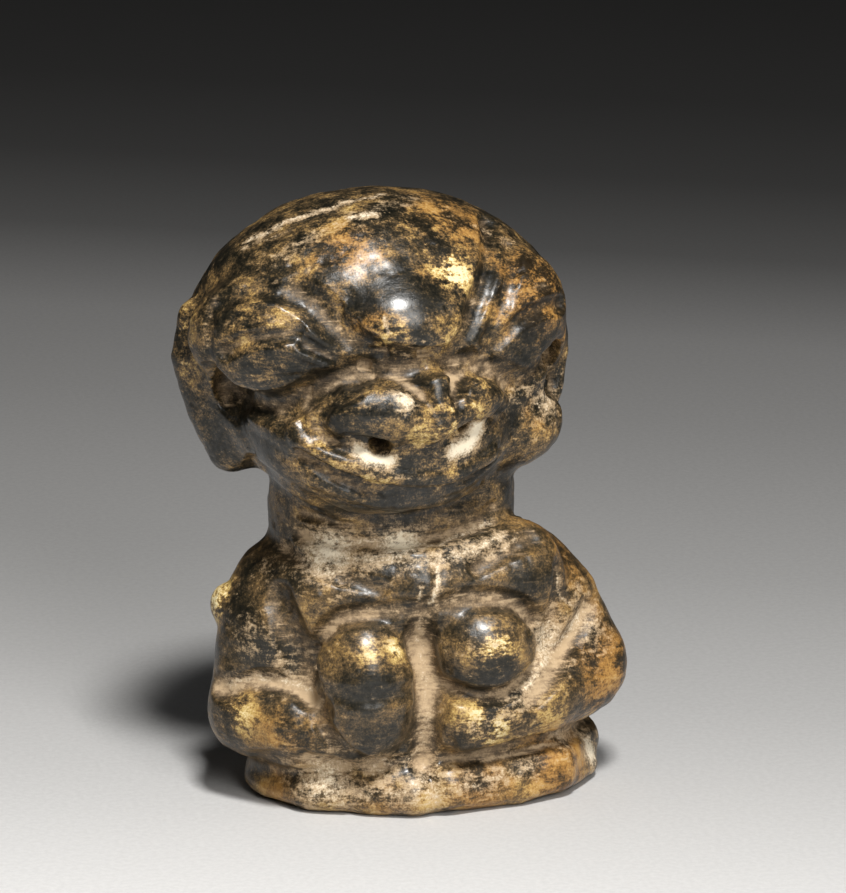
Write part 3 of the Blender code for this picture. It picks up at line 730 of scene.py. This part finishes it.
def settled(points, form, cell, rounds):
    """The points moved onto the form's own surface."""
    small = 0.05
    for _ in range(rounds):
        value = form(points)
        slope = np.stack(
            [(form(points + small * step) - value) / small for step in np.eye(3)], axis=1
        )
        steep = np.maximum(length_of(slope), 0.3)
        move = -value / steep
        move = np.clip(move, -0.5 * cell, 0.5 * cell)
        points = points + slope / steep[:, None] * move[:, None]
    return points


def cut_flat_below(mesh):
    """Cut the stone off at z = 0 and close the cut with a flat underside."""
    work = bmesh.new()
    work.from_mesh(mesh)
    everything = work.verts[:] + work.edges[:] + work.faces[:]
    bmesh.ops.bisect_plane(
        work, geom=everything, dist=1e-7, plane_co=(0, 0, 0), plane_no=(0, 0, 1), clear_inner=True
    )
    rim = [edge for edge in work.edges if edge.is_boundary]
    bmesh.ops.dissolve_degenerate(work, dist=2e-5, edges=rim)
    rim = [edge for edge in work.edges if edge.is_boundary]
    bmesh.ops.edgenet_fill(work, edges=rim)
    bmesh.ops.triangulate(work, faces=work.faces[:])
    bmesh.ops.recalc_face_normals(work, faces=work.faces[:])
    work.to_mesh(mesh)
    work.free()


# The finer relief

# How large its lumps are and how high, in squares.
RELIEF = [(6.5, 0.30), (2.6, 0.14), (1.3, 0.06)]
PIT_SIZE = 1.7
PIT_LEVEL = 0.36
PIT_DEPTH = 0.7


def lumps(points, size, seed):
    """Smooth uneven relief between about -1 and 1, with lumps of a size in squares."""
    shift = Vector((seed * 17.3, seed * 5.1, seed * 9.7))
    return np.array([noise.noise(Vector(point) / size + shift) for point in points.tolist()])


def of_vertices(mesh, kind):
    """One row for each vertex: its place if the kind is co, or its normal."""
    found = np.empty(len(mesh.vertices) * 3)
    mesh.vertices.foreach_get(kind, found)
    return found.reshape(-1, 3)


def evened_over_neighbours(mesh, amount, rounds):
    """Each vertex's amount averaged with its neighbours', over and over."""
    ends = np.empty(len(mesh.edges) * 2, dtype=int)
    mesh.edges.foreach_get("vertices", ends)
    ends = ends.reshape(-1, 2)
    count = np.bincount(ends.ravel(), minlength=len(amount)).astype(float)
    for _ in range(rounds):
        total = np.bincount(ends[:, 0], weights=amount[ends[:, 1]], minlength=len(amount))
        total += np.bincount(ends[:, 1], weights=amount[ends[:, 0]], minlength=len(amount))
        amount = 0.5 * amount + 0.5 * total / np.maximum(count, 1)
    return amount


def depth_below_surroundings(mesh, places, normals, rounds):
    """How far each place lies below the surface around it. A high point is below zero."""
    evened = np.stack([evened_over_neighbours(mesh, places[:, i], rounds) for i in range(3)], axis=1)
    return np.einsum("ij,ij->i", evened - places, normals)


def along_lines(places, lines):
    """How close each place is to any of the lines, times the line's strength."""
    closeness = np.zeros(len(places))
    for line, width, strength in lines:
        low, high = line.min(0) - width, line.max(0) + width
        near = np.flatnonzero(((places > low) & (places < high)).all(axis=1))
        if strength > 0 and len(near):
            gap = roll(places[near], [(*station, 0.0) for station in line])
            closeness[near] = np.maximum(closeness[near], np.clip(1 - gap / width, 0, 1) * strength)
    return closeness


def around_spots(places, spots):
    """How much of a colour each place takes from the spots around it, fading out with distance."""
    amount = np.zeros(len(places))
    for x, y, z, reach, strength in spots.values():
        gap = length_of(places - np.array([x, y, z])) / reach
        amount = np.maximum(amount, strength * np.exp(-(gap**2)))
    return amount


def on_head_or_body(places, head_spots, body_spots):
    """The head's spots above the neck and the body's below it."""
    head_share = np.clip((places[:, 2] - NECK_HEIGHT) / NECK_FADE, 0, 1)
    on_head = around_spots(in_head(places), head_spots)
    return on_head * head_share + around_spots(places, body_spots) * (1 - head_share)


def deposit_beds(form, groups):
    """Where the deposit lies along the carved grooves, with its reach and strength."""
    return [
        (
            meet_stone(form, marks, side),
            DEPOSIT_REACH[side] * width,
            DEPOSIT_IN.get(name, DEPOSIT_WHERE_UNNAMED),
        )
        for side, group in groups
        for name, (marks, width, depth) in group.items()
        if depth > 0
    ]


def carved_stone():
    """The figure's mesh, with its finer relief and what each place shows of deposit and stain, and of painted
    light and shade.
    """
    main_groups = [("face", FACE_LINES), ("front", BODY_LINES), ("back", BACK_LINES)]
    fine_groups = [("face", FINE_FACE_LINES), ("front", FINE_BODY_LINES)]
    lines = laid(blocked_form, main_groups)
    fine_lines = laid(blocked_form, fine_groups)

    def form(points):
        return carved_form(points, lines + fine_lines)

    points, quads = meshed(without_pinches(sampled_grid(form, MESH_CELL)), MESH_CELL)
    points = settled(points, form, MESH_CELL, rounds=2)
    mesh = bpy.data.meshes.new("carved_figure")
    mesh.from_pydata(points, [], quads.tolist())
    mesh.update()
    places, normals = of_vertices(mesh, "co"), of_vertices(mesh, "normal")
    polish = on_head_or_body(places, HEAD_POLISH, BODY_POLISH)
    relief = sum(height * lumps(places, size, seed) for seed, (size, height) in enumerate(RELIEF, 1))
    pits = np.clip(lumps(places, PIT_SIZE, 4) - PIT_LEVEL, 0, 1) * PIT_DEPTH
    places = places + normals * ((relief - pits) * (1 - 0.8 * polish))[:, None]
    mesh.vertices.foreach_set("co", places.ravel())
    mesh.update()
    normals = of_vertices(mesh, "normal")
    fine = depth_below_surroundings(mesh, places, normals, 10)
    wide = depth_below_surroundings(mesh, places, normals, 90)
    fine_beds = [(bed, width, 1) for bed, width, depth in laid(form, fine_groups)]
    strokes = laid(form, [("face", FACE_STROKES), ("front", BODY_STROKES)])
    facing_up = np.clip(0.75 + 0.6 * normals[:, 2], 0.3, 1)
    amounts = {
        "fine_hollow": fine,
        "wide_hollow": wide,
        "groove": along_lines(places, deposit_beds(form, main_groups)) * facing_up,
        "fine_groove": along_lines(places, fine_beds) * facing_up,
        "pale_deposit_and_painted_light": np.maximum(along_lines(places, strokes), on_head_or_body(places, HEAD_FILM, BODY_FILM_AND_PAINTED_LIGHT)),
        "gold": on_head_or_body(places, HEAD_GOLD, BODY_GOLD),
        "rust": on_head_or_body(places, HEAD_RUST, BODY_RUST),
        "dark_stone_and_shade": on_head_or_body(places, HEAD_DARK_STONE_AND_SHADE, BODY_DARK_STONE_AND_SHADE),
        "polish": polish,
    }
    for name, amount in amounts.items():
        keep_attribute(mesh, name, amount)
    return mesh


def keep_attribute(mesh, name, amount):
    attribute = mesh.attributes.new(name, "FLOAT", "POINT")
    attribute.data.foreach_set("value", np.asarray(amount, dtype=np.float32))


def scaled_to_solid(mesh):
    """From squares on the carving's grid to metres, over the solid's own middle and height."""
    places = of_vertices(mesh, "co")
    low, high = places.min(0), places.max(0)
    middle = np.array([(low[0] + high[0]) / 2, (low[1] + high[1]) / 2, 0.0])
    solid_low, solid_high = (np.array(corner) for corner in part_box("figure"))
    square = (solid_high[2] - solid_low[2]) / high[2]
    mesh.vertices.foreach_set("co", ((places - middle) * square).ravel())
    mesh.update()
    return middle, square


# The stone's finish


class Nodes:
    """A material's node tree, with a short way to add and link its nodes."""

    def __init__(self, name):
        self.material = bpy.data.materials.new(name)
        self.material.use_nodes = True
        self.tree = self.material.node_tree
        self.shader = self.tree.nodes["Principled BSDF"]

    def add(self, kind, **settings):
        node = self.tree.nodes.new(kind)
        for name, setting in settings.items():
            setattr(node, name, setting)
        return node

    def link(self, source, target):
        self.tree.links.new(source, target)

    def put(self, socket, value):
        """Set a socket to a plain value, or link it to another socket."""
        if isinstance(value, bpy.types.NodeSocket):
            self.link(value, socket)
        else:
            socket.default_value = value

    def place(self):
        return self.add("ShaderNodeTexCoord").outputs["Object"]

    def noise(self, per_metre, detail, roughness=0.55, place=None):
        node = self.add("ShaderNodeTexNoise")
        self.link(place or self.place(), node.inputs["Vector"])
        node.inputs["Scale"].default_value = per_metre
        node.inputs["Detail"].default_value = detail
        node.inputs["Roughness"].default_value = roughness
        return node.outputs["Fac"]

    def stretched(self, across, deep, up):
        """The place with each direction scaled, so a noise on it is drawn out along the smaller ones."""
        node = self.add("ShaderNodeVectorMath", operation="MULTIPLY")
        self.link(self.place(), node.inputs[0])
        node.inputs[1].default_value = (across, deep, up)
        return node.outputs[0]

    def attribute(self, name):
        return self.add("ShaderNodeAttribute", attribute_name=name).outputs["Fac"]

    def sum(self, first, second, operation="ADD"):
        node = self.add("ShaderNodeMath", operation=operation)
        self.put(node.inputs[0], first)
        self.put(node.inputs[1], second)
        return node.outputs[0]

    def ramp(self, amount, low, high, to_low=0.0, to_high=1.0):
        """The amount taken from one range to another, with soft ends."""
        node = self.add("ShaderNodeMapRange", interpolation_type="SMOOTHSTEP")
        self.put(node.inputs["Value"], amount)
        for name, value in zip(("From Min", "From Max", "To Min", "To Max"), (low, high, to_low, to_high)):
            node.inputs[name].default_value = value
        return node.outputs["Result"]

    def centred(self, amount):
        return self.sum(amount, -0.5)

    def total(self, terms):
        """The sum of amounts, each times its own weight."""
        result = 0.0
        for amount, weight in terms:
            result = self.sum(result, self.sum(amount, weight, "MULTIPLY"))
        return result

    def shades(self, amount, stops):
        """A colour for the amount, from stops of a value and its colour."""
        low, high = stops[0][0], stops[-1][0]
        along = self.add("ShaderNodeMapRange")
        self.put(along.inputs["Value"], amount)
        along.inputs["From Min"].default_value = low
        along.inputs["From Max"].default_value = high
        ramp = self.add("ShaderNodeValToRGB")
        self.link(along.outputs["Result"], ramp.inputs["Fac"])
        elements = ramp.color_ramp.elements
        while len(elements) < len(stops):
            elements.new(0.5)
        for element, (value, colour) in zip(elements, stops):
            element.position = (value - low) / (high - low)
            element.color = (*colour, 1)
        return ramp.outputs["Color"]

    def tinted(self, colour, tint, strength):
        """The tint, as light or dark as the strength says, softened by the colour under it."""
        node = self.add("ShaderNodeVectorMath", operation="SCALE")
        node.inputs[0].default_value = tint
        self.link(strength, node.inputs["Scale"])
        return self.blend(0.80, colour, node.outputs[0])

    def blend(self, share, first, second):
        node = self.add("ShaderNodeMix", data_type="RGBA")
        self.put(node.inputs["Factor"], share)
        colours = [socket for socket in node.inputs if socket.type == "RGBA"]
        self.put(colours[0], first)
        self.put(colours[1], second)
        return [socket for socket in node.outputs if socket.type == "RGBA"][0]


# The patina from bare dark stone up to pale gold, each with the noise value where it sits.
PATINA = [
    (0.28, (0.006, 0.006, 0.004)),
    (0.40, (0.018, 0.015, 0.009)),
    (0.48, (0.054, 0.038, 0.019)),
    (0.56, (0.135, 0.086, 0.039)),
    (0.65, (0.30, 0.186, 0.064)),
    (0.76, (0.62, 0.44, 0.155)),
    (0.90, (0.90, 0.78, 0.48)),
]
RUST_BROWN = (0.34, 0.165, 0.040)
TAN_DEPOSIT = (0.200, 0.135, 0.078, 1)
SAND_DEPOSIT = (0.50, 0.365, 0.220, 1)
CREAM_DEPOSIT = (0.86, 0.76, 0.58, 1)

# Heights in metres between which the head's finish sets in and the base's gives out.
HEAD_FINISH = (0.034, 0.040)
BASE_FINISH = (0.0050, 0.0074)


def worn_stone():
    """Dark hand-worn stone, with rusty and gold mottling on it, a pale deposit in its hollows, and some
    painted light and shade.
    """
    m = Nodes("worn_dark_stone")
    fine, wide = m.attribute("fine_hollow"), m.attribute("wide_hollow")
    groove, fine_groove, pale_deposit_and_painted_light = m.attribute("groove"), m.attribute("fine_groove"), m.attribute("pale_deposit_and_painted_light")
    gold, rust = m.attribute("gold"), m.attribute("rust")
    polish, dark_stone_and_shade = m.attribute("polish"), m.attribute("dark_stone_and_shade")
    cloud = m.centred(m.noise(230, 3))
    mottle = m.centred(m.noise(620, 6, 0.74))
    fleck = m.centred(m.noise(1700, 3, 0.7))
    grain = m.centred(m.noise(4200, 2, 0.6))
    streak = m.centred(m.noise(1400, 4, 0.68, m.stretched(0.30, 0.6, 1.2)))

    # Patina, paler on high points and where it is gold, darker where it is polished, where the stone is dark
    # and where shade is painted
    split = m.add("ShaderNodeSeparateXYZ")
    m.link(m.place(), split.inputs[0])
    on_head = m.ramp(split.outputs["Z"], *HEAD_FINISH)
    high = m.ramp(wide, 0.3, -1.0)
    varied = m.total([(mottle, 0.46), (fleck, 0.32), (grain, 0.44), (cloud, 0.76), (streak, 0.36)])
    varied = m.sum(varied, m.ramp(on_head, 0.0, 1.0, 0.72, 1.05), "MULTIPLY")
    on_base = m.ramp(split.outputs["Z"], *BASE_FINISH, 1.0, 0.0)
    tone = m.total([(0.486, 1), (varied, 1), (on_head, -0.012), (on_base, 0.060)])
    patchy = m.ramp(m.total([(cloud, 1), (streak, 0.8), (fleck, 0.6)]), -0.12, 0.16, 0.15, 1.35)
    golden = m.sum(gold, patchy, "MULTIPLY")
    # The dark spots darken the tone, both for dark stone and as painted shade.
    tone = m.total([(tone, 1), (golden, 0.19), (high, 0.030), (polish, -0.04), (dark_stone_and_shade, -0.095)])
    colour = m.shades(tone, PATINA)
    rusty = m.total([(rust, 0.95), (m.ramp(cloud, 0.02, 0.20), 0.25), (mottle, 0.9)])
    rusty = m.sum(m.ramp(rusty, 0.12, 0.75), m.ramp(tone, 0.40, 0.58, 0.25, 0.85), "MULTIPLY")
    colour = m.blend(rusty, colour, m.tinted(colour, RUST_BROWN, m.ramp(tone, 0.42, 0.68, 0.18, 1.2)))

    # Deposit in the hollows and along the grooves, tan at its edges and paler where it is deep
    lying = m.total([(m.ramp(fine, 0.02, 0.40), 0.22), (m.ramp(wide, 0.10, 1.4), 0.32), (groove, 1.0)])
    lying = m.total(
        [(lying, 1), (fine_groove, 0.40), (mottle, 0.6), (streak, 0.6), (grain, 0.25), (dark_stone_and_shade, -0.2)]
    )
    scratches = m.ramp(m.noise(1100, 2, 0.6, m.stretched(0.10, 0.5, 1.8)), 0.60, 0.69)
    lying = m.total([(lying, 1), (on_head, -0.10), (scratches, 0.28), (0.05, 1)])
    dust = m.ramp(lying, 0.10, 0.85)
    thick = m.ramp(m.total([(lying, 1), (fleck, 0.8), (streak, 0.8)]), 0.30, 1.0)
    pale = m.blend(thick, TAN_DEPOSIT, SAND_DEPOSIT)
    colour = m.blend(m.sum(dust, 0.92, "MULTIPLY"), colour, pale)
    # The cream of the strokes and films, partly painted light on the collar, the left arm and the left
    # shoulder.
    ragged = m.total([(pale_deposit_and_painted_light, 1), (mottle, 1.7), (streak, 1.7), (fleck, 0.9), (grain, 0.6)])
    cream = m.ramp(ragged, 0.26, 1.0)
    paler = m.ramp(m.total([(pale_deposit_and_painted_light, 1), (fleck, 1), (grain, 1)]), 0.55, 1.2)
    colour = m.blend(cream, colour, m.blend(paler, SAND_DEPOSIT, CREAM_DEPOSIT))
    m.link(colour, m.shader.inputs["Base Color"])

    # A soft sheen under a polished skin, both lost where the deposit lies
    dull = m.sum(dust, cream, "MAXIMUM")
    rough = m.total([(0.36, 1), (fleck, 0.25), (polish, -0.06), (dull, 0.36)])
    m.link(rough, m.shader.inputs["Roughness"])
    m.link(m.total([(0.10, 1), (polish, 0.75), (fleck, 1.6), (dull, -0.5)]), m.shader.inputs["Coat Weight"])
    m.shader.inputs["Specular IOR Level"].default_value = 0.3
    m.shader.inputs["Coat Roughness"].default_value = 0.26
    bump = m.add("ShaderNodeBump")
    bump.inputs["Strength"].default_value = 0.42
    bump.inputs["Distance"].default_value = 0.00016
    m.link(m.total([(grain, 0.35), (fleck, 0.7), (mottle, 0.5), (streak, 0.6)]), bump.inputs["Height"])
    m.link(bump.outputs["Normal"], m.shader.inputs["Normal"])
    return m.material


# The backdrop's greys from front to back, painted shade standing in for the light's fall-off: metres behind
# the figure, and the paper's grey there.
PAPER_PAINTED_SHADE_GREYS = [
    (-0.30, 0.76),
    (-0.05, 0.72),
    (0.00, 0.55),
    (0.04, 0.43),
    (0.10, 0.31),
    (0.18, 0.225),
    (0.23, 0.19),
    (0.29, 0.076),
    (0.35, 0.033),
    (0.42, 0.016),
    (0.53, 0.008),
]

# The painted shade darkens the paper away from the camera and a little to the viewer's right.
PAPER_PAINTED_SHADE_TURN = math.radians(26)


def paper_with_painted_shade():
    """Studio paper with painted shade, its colour darkening from pale in front of the figure to near black
    far behind it.
    """
    m = Nodes("paper_with_painted_shade")
    behind_figure = m.add("ShaderNodeVectorMath", operation="DOT_PRODUCT")
    m.link(m.place(), behind_figure.inputs[0])
    behind_figure.inputs[1].default_value = (math.sin(PAPER_PAINTED_SHADE_TURN), math.cos(PAPER_PAINTED_SHADE_TURN), 0)
    stops = [(behind, (grey, grey, grey)) for behind, grey in PAPER_PAINTED_SHADE_GREYS]
    paper = m.shades(behind_figure.outputs["Value"], stops)
    mottle = m.ramp(m.noise(1300, 4, 0.7), 0.3, 0.7, 0.95, 1.04)
    grey = m.add("ShaderNodeVectorMath", operation="SCALE")
    m.link(paper, grey.inputs[0])
    m.link(mottle, grey.inputs["Scale"])
    m.link(grey.outputs[0], m.shader.inputs["Base Color"])
    m.shader.inputs["Roughness"].default_value = 0.9
    bump = m.add("ShaderNodeBump")
    bump.inputs["Strength"].default_value = 0.15
    bump.inputs["Distance"].default_value = 0.0003
    m.link(m.noise(900, 3), bump.inputs["Height"])
    m.link(bump.outputs["Normal"], m.shader.inputs["Normal"])
    return m.material


# Setting the figure up


def add_object(name, mesh, material):
    piece = bpy.data.objects.new(name, mesh)
    bpy.context.scene.collection.objects.link(piece)
    mesh.materials.append(material)
    return piece


def studio_sweep():
    """A pale floor that curves up into a plain wall a long way behind."""
    front, bend, radius, top, half_width = -0.9, 0.55, 0.25, 1.3, 1.3
    outline = [(front, 0.0), (bend, 0.0)]
    turns = np.linspace(0.1, math.pi / 2, 14)
    outline += [(bend + radius * math.sin(turn), radius - radius * math.cos(turn)) for turn in turns]
    outline.append((bend + radius, top))
    verts = [(x, y, z) for y, z in outline for x in (-half_width, half_width)]
    faces = [(2 * i, 2 * i + 1, 2 * i + 3, 2 * i + 2) for i in range(len(outline) - 1)]
    mesh = bpy.data.meshes.new("studio_sweep")
    mesh.from_pydata(verts, [], faces)
    mesh.shade_smooth()
    return add_object("studio_sweep", mesh, paper_with_painted_shade())


def towards(side, rise):
    """The direction so many degrees round from the front to the viewer's right, and up."""
    turn, lift = math.radians(side), math.radians(rise)
    return Vector((math.sin(turn) * math.cos(lift), -math.cos(turn) * math.cos(lift), math.sin(lift)))


def softbox(name, side, rise, distance, width, height, power, colour=(1, 1, 1)):
    """A soft light that faces the middle of the figure from a direction."""
    aim = Vector((0, 0, 0.035))
    place = aim + distance * towards(side, rise)
    light = bpy.data.lights.new(name, "AREA")
    light.shape = "RECTANGLE"
    light.size, light.size_y = width, height
    light.energy = power
    light.color = colour
    lamp = bpy.data.objects.new(name, light)
    lamp.location = place
    lamp.rotation_euler = (aim - place).to_track_quat("-Z", "Y").to_euler()
    bpy.context.scene.collection.objects.link(lamp)


# The photograph's camera: degrees round to the viewer's right and up, metres away, and millimetres
# of lens and sensor. Then the photograph's size and the place of the grid's origin, in pixels.
CAMERA_SIDE = -12
CAMERA_RISE = 15
CAMERA_DISTANCE = 0.7
FOCAL_LENGTH = 231.0
SENSOR = 36
PHOTO_WIDTH = 846
PHOTO_HEIGHT = 893
ORIGIN_ACROSS = 410
ORIGIN_DOWN = 781
GRID_SQUARE = 0.00075


def camera_on(middle, square):
    """The photograph's view: a little from the figure's own right and from above, with a long lens."""
    back = towards(CAMERA_SIDE, CAMERA_RISE)
    turn = math.radians(CAMERA_SIDE)
    right = Vector((math.cos(turn), math.sin(turn), 0))
    up = back.cross(right)
    pixel = SENSOR / FOCAL_LENGTH * CAMERA_DISTANCE / PHOTO_HEIGHT / GRID_SQUARE
    across, over = PHOTO_WIDTH / 2 - ORIGIN_ACROSS, ORIGIN_DOWN - PHOTO_HEIGHT / 2
    aim = right * (across * pixel) + up * (over * pixel)
    place = (aim + back * (CAMERA_DISTANCE / GRID_SQUARE) - Vector(middle)) * square
    camera = bpy.data.cameras.new("camera")
    camera.lens, camera.sensor_width, camera.clip_start = FOCAL_LENGTH, SENSOR, 0.01
    eye = bpy.data.objects.new("camera", camera)
    eye.matrix_world = Matrix.Translation(place) @ Matrix((right, up, back)).transposed().to_4x4()
    bpy.context.scene.collection.objects.link(eye)
    bpy.context.scene.camera = eye


def main():
    mesh = carved_stone()
    cut_flat_below(mesh)
    middle, square = scaled_to_solid(mesh)
    mesh.shade_smooth()
    figure = add_object("carved_figure", mesh, worn_stone())
    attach(figure, "root")
    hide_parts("figure")
    studio_sweep()
    camera_on(middle, square)
    softbox("key", 1, 58, 0.90, 0.15, 0.15, 9.2, (1, 0.98, 0.95))
    softbox("front_fill", 11, 28, 0.80, 0.30, 0.30, 2.7, (1, 0.98, 0.95))
    softbox("right_fill", 72, 32, 0.60, 0.26, 0.26, 0.16)
    softbox("left_fill", -80, 50, 0.60, 0.18, 0.18, 0.04)
    world = bpy.data.worlds.new("studio_air")
    world.use_nodes = True
    world.node_tree.nodes["Background"].inputs["Color"].default_value = (0.012, 0.012, 0.012, 1)
    bpy.context.scene.world = world
    bpy.context.scene.view_settings.view_transform = "Standard"


main()
